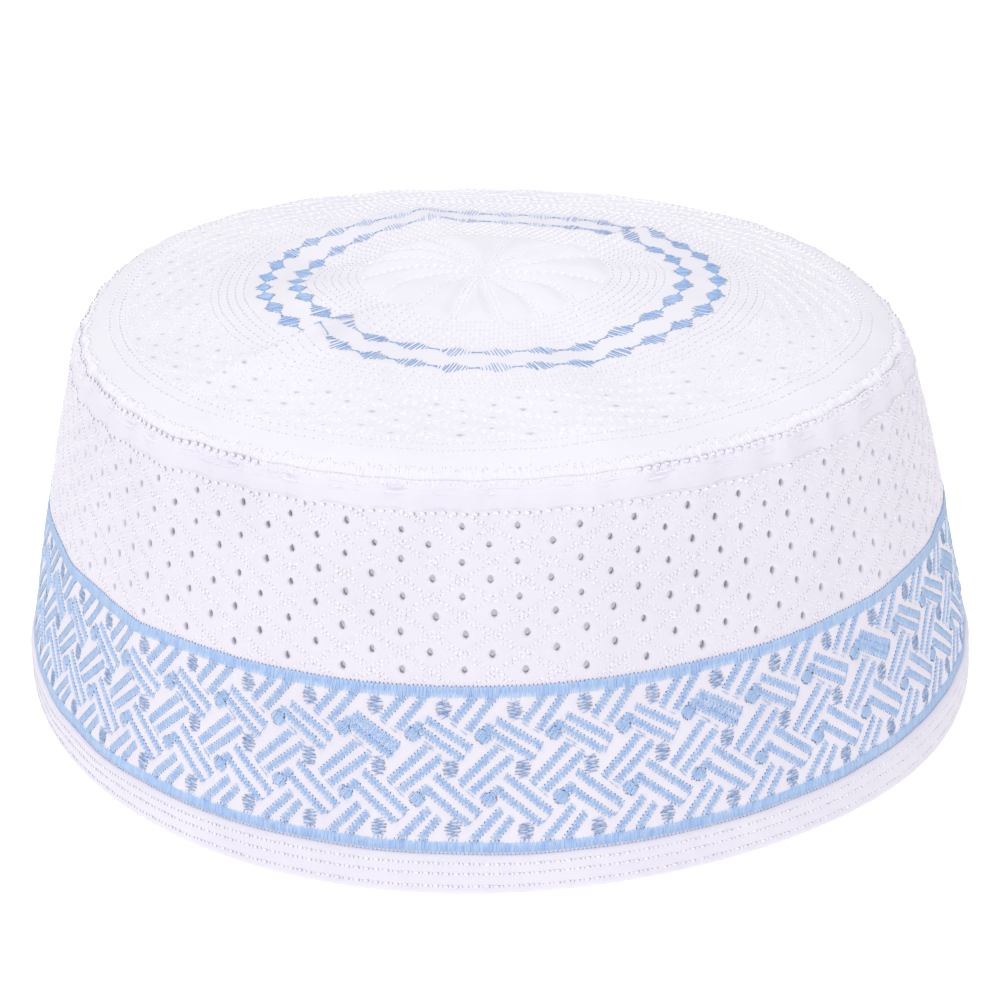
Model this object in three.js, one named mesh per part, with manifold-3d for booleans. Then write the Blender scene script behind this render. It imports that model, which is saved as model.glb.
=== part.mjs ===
// A quilted cotton prayer cap that rests on its hem: a stitched round crown, a tape that
// covers the seam at the shoulder, a pierced side band and a folded hem. The head goes in
// from below. Millimetres, +Z up, the front towards -Y, the origin under the middle of the hem.
import * as THREE from 'three';
import { mergeVertices } from 'three/addons/utils/BufferGeometryUtils.js';
import Module from 'manifold-3d';

// Driving dimensions, in millimetres, degrees and shares of the radius.
const HEM_RADIUS = 91;
const HEM_HEIGHT = 7;
const EDGE_GAP = 0.3;
const CLOTH_THICKNESS = 1.6;
const HEM_THICKNESS = 2.4;
const ROUND = 360;
const MERGE_DISTANCE = 0.0005;

// The eyelets stand in staggered rows, one in each diamond of the quilting.
const EYELET_COLUMNS = 53;
const EYELET_DIAMETER = 1.2;
const EYELET_SIDES = 6;
const EYELET_START = -92.7;
const CUT_ROWS = [
  { name: 'fourth row', height: 52.1, stagger: 0.5 },
  { name: 'fifth row', height: 49.3, stagger: 0 },
];

// Two facets for each eyelet column, with each eyelet in the middle of a facet.
const FACETS = 2 * EYELET_COLUMNS;
const FACET_ANGLE = ROUND / FACETS;
const FACET_START = EYELET_START - FACET_ANGLE / 2;

// Rings of the outer face, from the hem's foot to the middle of the crown.
const HEM_RINGS = [
  { name: 'foot', radius: HEM_RADIUS, height: 0 },
  { name: 'top', radius: HEM_RADIUS - 0.2, height: HEM_HEIGHT },
];
const SIDE_RINGS = [
  { name: 'foot', radius: 89.9, height: HEM_HEIGHT + EDGE_GAP },
  { name: 'middle of the border', radius: 87, height: 21 },
  { name: 'upper blue line', radius: 84, height: 34.9 },
  { name: 'middle of the quilting', radius: 81, height: 48 },
  { name: 'top', radius: 77.4, height: 62.1 },
];
const TAPE_RINGS = [
  { name: 'foot', radius: 77.3, height: 62.1 + EDGE_GAP },
  { name: 'bend', radius: 76.6, height: 64.4 },
  { name: 'top', radius: 75.2, height: 66.5 },
];
const CROWN_RINGS = [
  { name: 'edge', radius: 75, height: 66.8 },
  { name: 'shoulder', radius: 73.2, height: 68.2 },
  { name: 'last stitched row', radius: 69.8, height: 69.5 },
  { name: 'outer field', radius: 60.5, height: 70.4 },
  { name: 'middle field', radius: 51, height: 71.3 },
  { name: 'outer blue ring', radius: 42, height: 71.9 },
  { name: 'inner blue ring', radius: 36, height: 72.2 },
  { name: 'petal tips', radius: 27, height: 72.9 },
  { name: 'petals', radius: 14, height: 73.8 },
  { name: 'middle', radius: 0, height: 74.1 },
];

// The worn cap isn't quite round: each row is a wave of the radius round the cap.
const OUT_OF_ROUND = [
  { name: 'oval', waves: 2, cosine: 0.0042, sine: -0.0251 },
  { name: 'three-sided', waves: 3, cosine: 0.0152, sine: -0.0038 },
];

// The cap was stored folded flat, which left one crease across the crown and down the
// side. Each row is a point of the crest: how high it stands and how far each flank runs.
const CROWN_CREASES = [
  {
    name: 'front left',
    flankLeft: 2.4,
    flankRight: 2.5,
    crest: [
      { radius: 4, azimuth: -127, rise: 0.2 },
      { radius: 22, azimuth: -127, rise: 0.9 },
      { radius: 36, azimuth: -134, rise: 2.2 },
      { radius: 42, azimuth: -133, rise: 3.6 },
      { radius: 54, azimuth: -139, rise: 1 },
      { radius: 68, azimuth: -140, rise: 0.2 },
    ],
  },
  {
    name: 'back right',
    flankLeft: 1.6,
    flankRight: 2.9,
    crest: [
      { radius: 6, azimuth: 40, rise: 0.1 },
      { radius: 25, azimuth: 37, rise: 1.8 },
      { radius: 40, azimuth: 38, rise: 1.3 },
      { radius: 60, azimuth: 38, rise: 0.2 },
    ],
  },
];
const CREASE_SHARPNESS = 1.5;

// Soft swellings and hollows of the crown: place, rise, and reach along and across.
const CROWN_DENTS = [
  { name: 'front right hollow', azimuth: -63, radius: 40, rise: -1.1, along: 15, across: 5.3 },
  { name: 'back hollow', azimuth: 81, radius: 43, rise: -1, along: 18, across: 17 },
  { name: 'back left hollow', azimuth: 152, radius: 33, rise: -1.9, along: 8, across: 16 },
  { name: 'front left swell', azimuth: -119, radius: 44, rise: 0.8, along: 10, across: 10 },
  { name: 'back ripple', azimuth: 106, radius: 38, rise: 1.1, along: 10, across: 3.2 },
  { name: 'right swell', azimuth: -17, radius: 37, rise: 1.5, along: 16, across: 21 },
  { name: 'left swell', azimuth: -155, radius: 34, rise: 2.2, along: 12.6, across: 13 },
];
const RELIEF_FADE = { from: 60, to: 74.5 };
const CROWN_EDGE = CROWN_RINGS[0];
const LAST_STITCHED_ROW = CROWN_RINGS[2];

// The storage crease runs on down the side as a soft upright ridge.
const SIDE_CREASES = [
  { name: 'front left', azimuth: -134, rise: 0.9, spread: 3.4 },
  { name: 'back right', azimuth: 40, rise: 0.7, spread: 4 },
];
const SIDE_CREASE_FOOT = { from: 8, to: 30 };

// The shoulder has slumped at the back and at the right: how far it hangs below its ring.
const SHOULDER_DROP = [
  { name: 'left', azimuth: -180, drop: 1 },
  { name: 'left, to the front', azimuth: -150, drop: 0.5 },
  { name: 'front left', azimuth: -120, drop: 0 },
  { name: 'front', azimuth: -90, drop: 0 },
  { name: 'front right', azimuth: -60, drop: 0 },
  { name: 'right, to the front', azimuth: -30, drop: 0.3 },
  { name: 'right', azimuth: 0, drop: 2.5 },
  { name: 'right, to the back', azimuth: 30, drop: 1.3 },
  { name: 'back right', azimuth: 60, drop: 1.5 },
  { name: 'back', azimuth: 90, drop: 2.5 },
  { name: 'back left', azimuth: 120, drop: 1.6 },
  { name: 'left, to the back', azimuth: 150, drop: 0.3 },
];
const SIDE_DROP = { from: 34, to: 66 };
const CROWN_DROP = { from: 44, to: 72 };

// The seam draws the cloth into small gathers, deepest at the shoulder.
const GATHER = { depth: 0.3, height: 64, spread: 5 };

function radians(degrees) {
  return THREE.MathUtils.degToRad(degrees);
}

function planShape(azimuth) {
  let share = 1;
  for (const row of OUT_OF_ROUND) {
    share += row.cosine * Math.cos(row.waves * azimuth);
    share += row.sine * Math.sin(row.waves * azimuth);
  }
  return share;
}

function planPoint(radius, degrees) {
  const azimuth = radians(degrees);
  return new THREE.Vector2(radius * Math.cos(azimuth), radius * Math.sin(azimuth));
}

// Height that one crease adds at a point of the crown, from the nearest stretch of its crest.
function creaseRise(point, crease) {
  let nearest = Infinity;
  let rise = 0;
  let leftSide = false;
  for (let i = 1; i < crease.crest.length; i += 1) {
    const start = crease.crest[i - 1];
    const end = crease.crest[i];
    const from = planPoint(start.radius, start.azimuth);
    const along = planPoint(end.radius, end.azimuth).sub(from);
    const offset = point.clone().sub(from);
    const share = THREE.MathUtils.clamp(offset.dot(along) / along.lengthSq(), 0, 1);
    const distance = offset.distanceTo(along.clone().multiplyScalar(share));
    if (distance < nearest) {
      nearest = distance;
      rise = THREE.MathUtils.lerp(start.rise, end.rise, share);
      leftSide = along.cross(offset) > 0;
    }
  }
  const flank = leftSide ? crease.flankLeft : crease.flankRight;
  return rise * Math.exp(-((nearest / flank) ** CREASE_SHARPNESS));
}

function dentRise(point, dent) {
  const local = point.clone().rotateAround(new THREE.Vector2(), -radians(dent.azimuth));
  const along = (local.x - dent.radius) / dent.along;
  const across = local.y / dent.across;
  return dent.rise * Math.exp(-(along ** 2) - across ** 2);
}

function crownRelief(point) {
  const creases = CROWN_CREASES.map((crease) => creaseRise(point, crease));
  const dents = CROWN_DENTS.map((dent) => dentRise(point, dent));
  const total = [...creases, ...dents].reduce((sum, rise) => sum + rise, 0);
  const fade = THREE.MathUtils.smoothstep(point.length(), RELIEF_FADE.from, RELIEF_FADE.to);
  return total * (1 - fade);
}

function sideRelief(degrees, height) {
  let rise = 0;
  for (const crease of SIDE_CREASES) {
    const wholeTurn = THREE.MathUtils.euclideanModulo(degrees - crease.azimuth, ROUND);
    const turn = Math.min(wholeTurn, ROUND - wholeTurn);
    rise += crease.rise * Math.exp(-((turn / crease.spread) ** 2));
  }
  const grow = THREE.MathUtils.smoothstep(height, SIDE_CREASE_FOOT.from, SIDE_CREASE_FOOT.to);
  const wave = Math.sin(radians((degrees - EYELET_START) * EYELET_COLUMNS));
  const nearSeam = Math.exp(-(((height - GATHER.height) / GATHER.spread) ** 2));
  return rise * grow + GATHER.depth * wave * nearSeam;
}

const DROP_CURVE = new THREE.CatmullRomCurve3(
  SHOULDER_DROP.map((row) => new THREE.Vector3(0, 0, row.drop)),
  true,
  'catmullrom',
);

function shoulderDrop(degrees) {
  const turn = THREE.MathUtils.euclideanModulo(degrees - SHOULDER_DROP[0].azimuth, ROUND);
  return DROP_CURVE.getPoint(turn / ROUND).z;
}

function sideDrop(degrees, height) {
  const share = THREE.MathUtils.smoothstep(height, SIDE_DROP.from, SIDE_DROP.to);
  return share * shoulderDrop(degrees);
}

function crownDrop(degrees, radius) {
  const share = THREE.MathUtils.smoothstep(radius, CROWN_DROP.from, CROWN_DROP.to);
  return share * shoulderDrop(degrees);
}

function slopeAt(rings, i) {
  const before = rings[Math.max(i - 1, 0)];
  const after = rings[Math.min(i + 1, rings.length - 1)];
  return new THREE.Vector2(after.radius - before.radius, after.height - before.height).normalize();
}

// The inner face of a wall, ring by ring at the height of the outer one, so its ends are level.
function levelInnerRings(rings, thickness) {
  return rings.map((ring, i) => {
    const radius = ring.radius - thickness / slopeAt(rings, i).y;
    return { radius, height: ring.height };
  });
}

// The underside of the crown, square to its upper face and level where it meets the tape.
function crownUnderside(rings, thickness) {
  const underside = rings.map((ring, i) => {
    const slope = slopeAt(rings, i);
    const radius = Math.max(ring.radius - slope.y * thickness, 0);
    return { radius, height: ring.height + slope.x * thickness };
  });
  underside.shift();
  underside[0].height = rings[0].height;
  return underside;
}

// Turns a profile round the axis, then lets `place` move each point to its worn place.
function turnedShell(profile, place) {
  const points = profile.map((ring) => new THREE.Vector2(ring.radius, ring.height));
  const start = radians(FACET_START + ROUND / 4);
  const lathe = new THREE.LatheGeometry(points, FACETS, start, radians(ROUND));
  lathe.rotateX(radians(ROUND / 4));
  lathe.deleteAttribute('normal');
  lathe.deleteAttribute('uv');
  const geometry = mergeVertices(lathe, MERGE_DISTANCE);
  const position = geometry.getAttribute('position');
  const vertex = new THREE.Vector3();
  for (let i = 0; i < position.count; i += 1) {
    vertex.fromBufferAttribute(position, i);
    const placed = place(vertex);
    position.setXYZ(i, placed.x, placed.y, placed.z);
  }
  return geometry;
}

function wornSidePoint(vertex) {
  const azimuth = Math.atan2(vertex.y, vertex.x);
  const degrees = THREE.MathUtils.radToDeg(azimuth);
  const radius = Math.hypot(vertex.x, vertex.y);
  const worn = (radius + sideRelief(degrees, vertex.z)) * planShape(azimuth);
  const height = vertex.z - sideDrop(degrees, vertex.z);
  return new THREE.Vector3(worn * Math.cos(azimuth), worn * Math.sin(azimuth), height);
}

// The crown's edge follows the gathers of the tape that covers it.
function wornCrownPoint(vertex) {
  const azimuth = Math.atan2(vertex.y, vertex.x);
  const degrees = THREE.MathUtils.radToDeg(azimuth);
  const radius = Math.hypot(vertex.x, vertex.y);
  const edge = THREE.MathUtils.smoothstep(radius, LAST_STITCHED_ROW.radius, CROWN_EDGE.radius);
  const relief = edge * sideRelief(degrees, CROWN_EDGE.height);
  const worn = (radius + relief) * planShape(azimuth);
  const plan = new THREE.Vector2(worn * Math.cos(azimuth), worn * Math.sin(azimuth));
  const height = vertex.z + crownRelief(plan) - crownDrop(degrees, radius);
  return new THREE.Vector3(plan.x, plan.y, height);
}

function ringWall(rings, thickness) {
  const inner = levelInnerRings(rings, thickness).reverse();
  return turnedShell([...rings, ...inner, rings[0]], wornSidePoint);
}

function crownPanel() {
  const underside = crownUnderside(CROWN_RINGS, CLOTH_THICKNESS).reverse();
  return turnedShell([...underside, ...CROWN_RINGS], wornCrownPoint);
}

function toSolid(wasm, geometry) {
  const mesh = new wasm.Mesh({
    numProp: 3,
    vertProperties: new Float32Array(geometry.getAttribute('position').array),
    triVerts: new Uint32Array(geometry.getIndex().array),
  });
  return new wasm.Manifold(mesh);
}

function toGeometry(solid) {
  const mesh = solid.getMesh();
  const geometry = new THREE.BufferGeometry();
  geometry.setAttribute('position', new THREE.BufferAttribute(mesh.vertProperties, mesh.numProp));
  geometry.setIndex(new THREE.BufferAttribute(mesh.triVerts, 1));
  return geometry;
}

function sideRadiusAt(height) {
  const above = SIDE_RINGS.findIndex((ring) => ring.height >= height);
  const low = SIDE_RINGS[above - 1];
  const high = SIDE_RINGS[above];
  const share = (height - low.height) / (high.height - low.height);
  return THREE.MathUtils.lerp(low.radius, high.radius, share);
}

// One round punch for each eyelet, square to the axis of the cap.
function eyeletPunch(degrees, height) {
  const length = 4 * CLOTH_THICKNESS;
  const radius = EYELET_DIAMETER / 2;
  const punch = new THREE.CylinderGeometry(radius, radius, length, EYELET_SIDES);
  punch.deleteAttribute('normal');
  punch.deleteAttribute('uv');
  const azimuth = radians(degrees);
  const reach = sideRadiusAt(height) * planShape(azimuth);
  punch.rotateZ(radians(ROUND / 4));
  punch.rotateZ(azimuth);
  const worn = height - sideDrop(degrees, height);
  punch.translate(reach * Math.cos(azimuth), reach * Math.sin(azimuth), worn);
  return mergeVertices(punch, MERGE_DISTANCE);
}

async function sideBand() {
  const wasm = await Module();
  wasm.setup();
  let solid = toSolid(wasm, ringWall(SIDE_RINGS, CLOTH_THICKNESS));
  for (const row of CUT_ROWS) {
    for (let i = 0; i < EYELET_COLUMNS; i += 1) {
      const degrees = EYELET_START + ((i + row.stagger) * ROUND) / EYELET_COLUMNS;
      solid = solid.subtract(toSolid(wasm, eyeletPunch(degrees, row.height)));
    }
  }
  return toGeometry(solid);
}

function cloth(colour) {
  return new THREE.MeshStandardMaterial({ color: colour, roughness: 0.9, metalness: 0 });
}

function piece(name, geometry, material) {
  geometry.computeVertexNormals();
  const mesh = new THREE.Mesh(geometry, material);
  mesh.name = name;
  return mesh;
}

const BLEACHED_COTTON = '#f1eff7';
const COTTON_TAPE = '#efecf3';

const cap = new THREE.Group();
cap.add(piece('hem_band', ringWall(HEM_RINGS, HEM_THICKNESS), cloth(BLEACHED_COTTON)));
cap.add(piece('side_band', await sideBand(), cloth(BLEACHED_COTTON)));
cap.add(piece('shoulder_tape', ringWall(TAPE_RINGS, CLOTH_THICKNESS), cloth(COTTON_TAPE)));
cap.add(piece('crown_panel', crownPanel(), cloth(BLEACHED_COTTON)));

// The origin stands under the middle of the hem.
const middle = new THREE.Box3().setFromObject(cap).getCenter(new THREE.Vector3());
cap.position.set(-middle.x, -middle.y, 0);

export default cap;
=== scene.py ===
"""The looks of a quilted and embroidered cotton prayer cap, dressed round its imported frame.

Tables are in millimetres and degrees, and those of the worn shape repeat the part's source.
Azimuths run anticlockwise from +X, so the front is at -90. Every mesh is written in metres.
"""
import math

import bmesh
import bpy
import numpy as np
from mathutils import Matrix, Vector


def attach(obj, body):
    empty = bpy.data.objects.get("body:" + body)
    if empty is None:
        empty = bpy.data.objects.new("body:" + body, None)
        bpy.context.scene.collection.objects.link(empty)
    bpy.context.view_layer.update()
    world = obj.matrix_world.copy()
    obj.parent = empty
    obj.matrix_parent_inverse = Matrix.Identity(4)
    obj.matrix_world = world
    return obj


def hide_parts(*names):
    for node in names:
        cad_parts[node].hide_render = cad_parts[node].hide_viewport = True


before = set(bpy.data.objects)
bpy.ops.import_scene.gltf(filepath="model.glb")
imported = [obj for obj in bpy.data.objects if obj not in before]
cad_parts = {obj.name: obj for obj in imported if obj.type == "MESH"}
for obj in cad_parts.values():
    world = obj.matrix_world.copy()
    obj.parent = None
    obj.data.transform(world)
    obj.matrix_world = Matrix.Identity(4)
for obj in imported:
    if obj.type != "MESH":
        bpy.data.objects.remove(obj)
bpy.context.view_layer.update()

MM = 0.001

# The worn shape of the cap
CAP_AXIS = (-1.41655, -0.5535)
HEM_FOOT_RADIUS = 91.0
HEM_TOP_RADIUS = 90.8
HEM_HEIGHT = 7.0
CLOTH_THICKNESS = 1.6
HEM_THICKNESS = 2.4
SIDE_RINGS = [(7.3, 89.9), (21.0, 87.0), (34.9, 84.0), (48.0, 81.0), (62.1, 77.4)]
TAPE_RINGS = [(62.4, 77.3), (64.4, 76.6), (66.5, 75.2)]
CROWN_RINGS = [
    (0.0, 74.1), (14.0, 73.8), (27.0, 72.9), (36.0, 72.2), (42.0, 71.9),
    (51.0, 71.3), (60.5, 70.4), (69.8, 69.5), (73.2, 68.2), (75.0, 66.8),
]
LAST_STITCHED_ROW = 69.8
CROWN_EDGE = CROWN_RINGS[-1]
OUT_OF_ROUND = [(2, 0.0042, -0.0251), (3, 0.0152, -0.0038)]

# Each point of a crest is its radius, azimuth and rise
CROWN_CREASES = [
    {
        "flanks": (2.4, 2.5),
        "crest": [
            (4, -127, 0.2), (22, -127, 0.9), (36, -134, 2.2),
            (42, -133, 3.6), (54, -139, 1.0), (68, -140, 0.2),
        ],
    },
    {
        "flanks": (1.6, 2.9),
        "crest": [(6, 40, 0.1), (25, 37, 1.8), (40, 38, 1.3), (60, 38, 0.2)],
    },
]
CREASE_SHARPNESS = 1.5

# Azimuth, radius, rise, and reach along and across the radius
CROWN_DENTS = [
    (-63, 40, -1.1, 15, 5.3), (81, 43, -1.0, 18, 17), (152, 33, -1.9, 8, 16),
    (-119, 44, 0.8, 10, 10), (106, 38, 1.1, 10, 3.2), (-17, 37, 1.5, 16, 21),
    (-155, 34, 2.2, 12.6, 13),
]
RELIEF_FADE = (60.0, 74.5)

# Azimuth, rise and spread of the creases that run down the side
SIDE_CREASES = [(-134, 0.9, 3.4), (40, 0.7, 4.0)]
SIDE_CREASE_FOOT = (8.0, 30.0)
GATHER_DEPTH = 0.3
GATHER_HEIGHT = 64.0
GATHER_SPREAD = 5.0

# How far the shoulder hangs below its ring, every 30 degrees from an azimuth of -180
SHOULDER_DROP = [1.0, 0.5, 0.0, 0.0, 0.0, 0.3, 2.5, 1.3, 1.5, 2.5, 1.6, 0.3]
SIDE_DROP = (34.0, 66.0)
CROWN_DROP = (44.0, 72.0)

# Soft waves of the handled cloth: their length and seed, and how strong they are
WALL_WAVES = (16, 3)
WALL_WAVE_SHARE = 0.0012
WALL_WAVE_FOOT = (0, 9)
CROWN_WAVES = (12, 8)
CROWN_WAVE_RISE = 0.1

# The eyelets of the side, one in each diamond, and the rows that end their cloth
EYELET_COLUMNS = 53
EYELET_START = -92.7
EYELET_SIZE = (0.87, 1.36)
EYELET_ROWS = [60.05, 57.5, 54.9, 52.1, 49.3, 46.5, 43.6, 40.5, 37.5]
QUILTING_TOP = 62.7
QUILTING_FOOT = 34.3

# Azimuth, reach outwards and spread of the places where the foot of the hem flares
HEM_KICKS = [(-102, 1.0, 26), (-38, 1.2, 18)]

# Azimuth, drift in degrees and spread of the places where the worn pattern slipped sideways
EYELET_DRIFTS = [(-77, 0.3, 12), (-128, -0.27, 12)]
EYELET_SAG = 0.25

# The eyelets of the crown
CROWN_COLUMNS = 36
CROWN_START = -93.2
CROWN_EYELET_SIZE = (0.75, 0.7)
CROWN_EYELET_ROWS = [53.0, 55.0, 56.9, 59.0, 61.1, 63.2, 65.3]
CROWN_FIELD = (51.2, 67.2)


def smoothstep(value, low, high):
    share = np.clip((value - low) / (high - low), 0, 1)
    return share * share * (3 - 2 * share)


def plateau(value, rise, fall):
    """Rises softly from 0 to 1 over one span, and falls back over the other."""
    return smoothstep(value, *rise) * (1 - smoothstep(value, *fall))


def eased(t, start, end, start_slope, end_slope):
    """A cubic curve from start to end, with the slopes that it has at both."""
    near = (1 + 2 * t) * (1 - t) ** 2 * start + t * (1 - t) ** 2 * start_slope
    far = t * t * (3 - 2 * t) * end - t * t * (1 - t) * end_slope
    return near + far


def smooth_curve(at, rings):
    """A soft curve through the rings, which keeps the slope between their neighbours."""
    stations, values = np.array(rings, float).T
    slopes = np.gradient(values, stations)
    i = np.clip(np.searchsorted(stations, at) - 1, 0, len(stations) - 2)
    width = stations[i + 1] - stations[i]
    t = np.clip((at - stations[i]) / width, 0, 1)
    return eased(t, values[i], values[i + 1], width * slopes[i], width * slopes[i + 1])


def soft_bumps(azimuth, bumps):
    """Bumps round the cap, from rows of azimuth, rise and spread."""
    total = 0
    for at, rise, spread in bumps:
        turn = (azimuth - at + 180) % 360 - 180
        total = total + rise * np.exp(-((turn / spread) ** 2))
    return total


def ridges(at, rows, rise, width):
    """A soft ridge along each row, or a groove where the rise is below 0."""
    return sum(rise * np.exp(-(((at - row) / width) ** 2)) for row in rows)


def from_line(x, y, start, end):
    """How far points lie from a line, their share of the way along it, and if on its left."""
    along_x = end[0] - start[0]
    along_y = end[1] - start[1]
    off_x = x - start[0]
    off_y = y - start[1]
    share = (off_x * along_x + off_y * along_y) / (along_x**2 + along_y**2)
    share = np.clip(share, 0, 1)
    away = np.hypot(off_x - share * along_x, off_y - share * along_y)
    return away, share, along_x * off_y - along_y * off_x > 0


def on_plan(azimuth, radius):
    turn = np.radians(azimuth)
    return radius * np.cos(turn), radius * np.sin(turn)


def unevenness(x, y, z, length, seed):
    """Handled cloth is never true: soft waves about length long, about one high."""
    rng = np.random.default_rng(seed)
    total = 0
    waves = 9
    for _ in range(waves):
        heading = rng.normal(size=3)
        heading *= 2 * math.pi / (length * rng.uniform(0.7, 1.4) * np.linalg.norm(heading))
        phase = rng.uniform(0, 2 * math.pi)
        total = total + np.sin(x * heading[0] + y * heading[1] + z * heading[2] + phase)
    return total / math.sqrt(waves / 2)


def plan_share(azimuth):
    turn = np.radians(azimuth)
    share = 1
    for waves, cosine, sine in OUT_OF_ROUND:
        share = share + cosine * np.cos(waves * turn) + sine * np.sin(waves * turn)
    return share


def side_relief(azimuth, height):
    """The creases that run down the side, and the gathers at its upper seam."""
    creases = soft_bumps(azimuth, SIDE_CREASES) * smoothstep(height, *SIDE_CREASE_FOOT)
    wave = np.sin(np.radians((azimuth - EYELET_START) * EYELET_COLUMNS))
    return creases + wave * ridges(height, [GATHER_HEIGHT], GATHER_DEPTH, GATHER_SPREAD)


def shoulder_drop(azimuth):
    """A soft closed curve through the drops."""
    drops = np.array(SHOULDER_DROP)
    slopes = (np.roll(drops, -1) - np.roll(drops, 1)) / 2
    place = (np.asarray(azimuth, float) + 180) % 360 / (360 / len(drops))
    i = np.floor(place).astype(int) % len(drops)
    after = (i + 1) % len(drops)
    return eased(place % 1, drops[i], drops[after], slopes[i], slopes[after])


def crease_rise(x, y, crease):
    crest = [
        (radius * math.cos(math.radians(at)), radius * math.sin(math.radians(at)), rise)
        for radius, at, rise in crease["crest"]
    ]
    nearest = np.full(np.shape(x), np.inf)
    rise = np.zeros(np.shape(x))
    left_side = np.zeros(np.shape(x), bool)
    for start, end in zip(crest, crest[1:]):
        away, share, on_left = from_line(x, y, start, end)
        nearer = away < nearest
        nearest = np.where(nearer, away, nearest)
        rise = np.where(nearer, start[2] + share * (end[2] - start[2]), rise)
        left_side = np.where(nearer, on_left, left_side)
    flank = np.where(left_side, *crease["flanks"])
    return rise * np.exp(-((nearest / flank) ** CREASE_SHARPNESS))


def crown_relief(x, y):
    rise = sum(crease_rise(x, y, crease) for crease in CROWN_CREASES)
    for azimuth, radius, high, along, across in CROWN_DENTS:
        turn = math.radians(azimuth)
        local_x = x * math.cos(turn) + y * math.sin(turn)
        local_y = y * math.cos(turn) - x * math.sin(turn)
        rise = rise + high * np.exp(-(((local_x - radius) / along) ** 2) - (local_y / across) ** 2)
    return rise * (1 - smoothstep(np.hypot(x, y), *RELIEF_FADE))


def in_frame(x, y, z):
    """Millimetres from the cap's own axis to metres in the frame."""
    x, y, z = np.broadcast_arrays(x + CAP_AXIS[0], y + CAP_AXIS[1], z)
    return np.stack([x, y, z], axis=-1) * MM


def worn_point(azimuth, radius, height):
    x, y = on_plan(azimuth, (radius + side_relief(azimuth, height)) * plan_share(azimuth))
    waves = WALL_WAVE_SHARE * unevenness(x, y, height, *WALL_WAVES)
    worn = 1 + waves * smoothstep(height, *WALL_WAVE_FOOT)
    drop = smoothstep(height, *SIDE_DROP) * shoulder_drop(azimuth)
    return in_frame(x * worn, y * worn, height - drop)


def side_point(azimuth, height, out=0.0):
    return worn_point(azimuth, smooth_curve(height, SIDE_RINGS) + out, height)


def hem_point(azimuth, height, out=0.0):
    """The foot of the hem kicks out here and there at the front."""
    share = height / HEM_HEIGHT
    radius = HEM_FOOT_RADIUS + share * (HEM_TOP_RADIUS - HEM_FOOT_RADIUS)
    kick = (1 - share) * soft_bumps(azimuth, HEM_KICKS)
    return worn_point(azimuth, radius + kick + out, height)


def tape_point(azimuth, height, out=0.0):
    return worn_point(azimuth, smooth_curve(height, TAPE_RINGS) + out, height)


def crown_point(azimuth, radius, up=0.0):
    edge = smoothstep(radius, LAST_STITCHED_ROW, CROWN_EDGE[0])
    relief = edge * side_relief(azimuth, CROWN_EDGE[1])
    x, y = on_plan(azimuth, (radius + relief) * plan_share(azimuth))
    wave = unevenness(x, y, 0, *CROWN_WAVES) * (1 - edge)
    drop = smoothstep(radius, *CROWN_DROP) * shoulder_drop(azimuth)
    height = smooth_curve(radius, CROWN_RINGS) + crown_relief(x, y) - drop
    return in_frame(x, y, height + up + CROWN_WAVE_RISE * wave)


def shoulder_point(azimuth, run, up=0.0):
    """Over the shoulder: millimetres out from the crown's edge, and on down the tape."""
    tape_top = TAPE_RINGS[-1][0]
    crown = crown_point(azimuth, np.minimum(CROWN_EDGE[0] + run, CROWN_EDGE[0]), up)
    tape = tape_point(azimuth, np.minimum(tape_top - run, tape_top), up)
    return np.where(np.asarray(run)[..., None] < 0, crown, tape)


def outward(surface, azimuth, across):
    """Unit normals of a surface, turned away from the hollow of the cap."""
    turn_step = 0.2
    step = 0.1
    hollow = np.array([0, 0, 30 * MM])
    point = surface(azimuth, across)
    along = surface(azimuth + turn_step, across) - point
    over = surface(azimuth, across + step) - point
    normal = np.cross(along, over)
    facing = np.sign(np.sum(normal * (point - hollow), axis=-1, keepdims=True))
    return normal * facing / np.linalg.norm(normal, axis=-1, keepdims=True)


# Materials

# Slubs, handling marks, twists and paper grains along one millimetre
SLUBS = 0.7
HANDLING_MARKS = 0.045
THREAD_TWISTS = 4
PAPER_GRAINS = 0.9

# A wave texture repeats every 0.31416 at scale 1
WAVE_REPEAT = 0.31416


def linear(colour):
    """An sRGB hex value as the linear colour that a shader needs."""
    channels = [int(colour[i : i + 2], 16) / 255 for i in (1, 3, 5)]
    curve = [c / 12.92 if c <= 0.04045 else ((c + 0.055) / 1.055) ** 2.4 for c in channels]
    return (*curve, 1.0)


def add_node(tree, kind, inputs=None, **settings):
    """Adds a node with its settings, and fills or links its inputs.

    A node given as an input stands for the first of its outputs that is in use.
    """
    node = tree.nodes.new(kind)
    for name, value in settings.items():
        setattr(node, name, value)
    for key, value in (inputs or {}).items():
        if isinstance(value, bpy.types.Node):
            value = next(output for output in value.outputs if output.enabled)
        if isinstance(value, bpy.types.NodeSocket):
            tree.links.new(value, node.inputs[key])
        else:
            node.inputs[key].default_value = value
    return node


def new_material(name):
    material = bpy.data.materials.new(name)
    material.use_nodes = True
    material.node_tree.nodes.clear()
    return material, material.node_tree


def end_material(tree, principled):
    shader = add_node(tree, "ShaderNodeBsdfPrincipled", principled)
    add_node(tree, "ShaderNodeOutputMaterial", {"Surface": shader})


def fine_relief(tree, place, to_a_mm, detail, strength, depth):
    """Bumps of a real size and depth."""
    bumps = add_node(tree, "ShaderNodeTexNoise", {
        "Vector": place, "Scale": to_a_mm / MM, "Detail": detail,
    })
    return add_node(tree, "ShaderNodeBump", {
        "Height": bumps, "Strength": strength, "Distance": depth * MM,
    })


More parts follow.
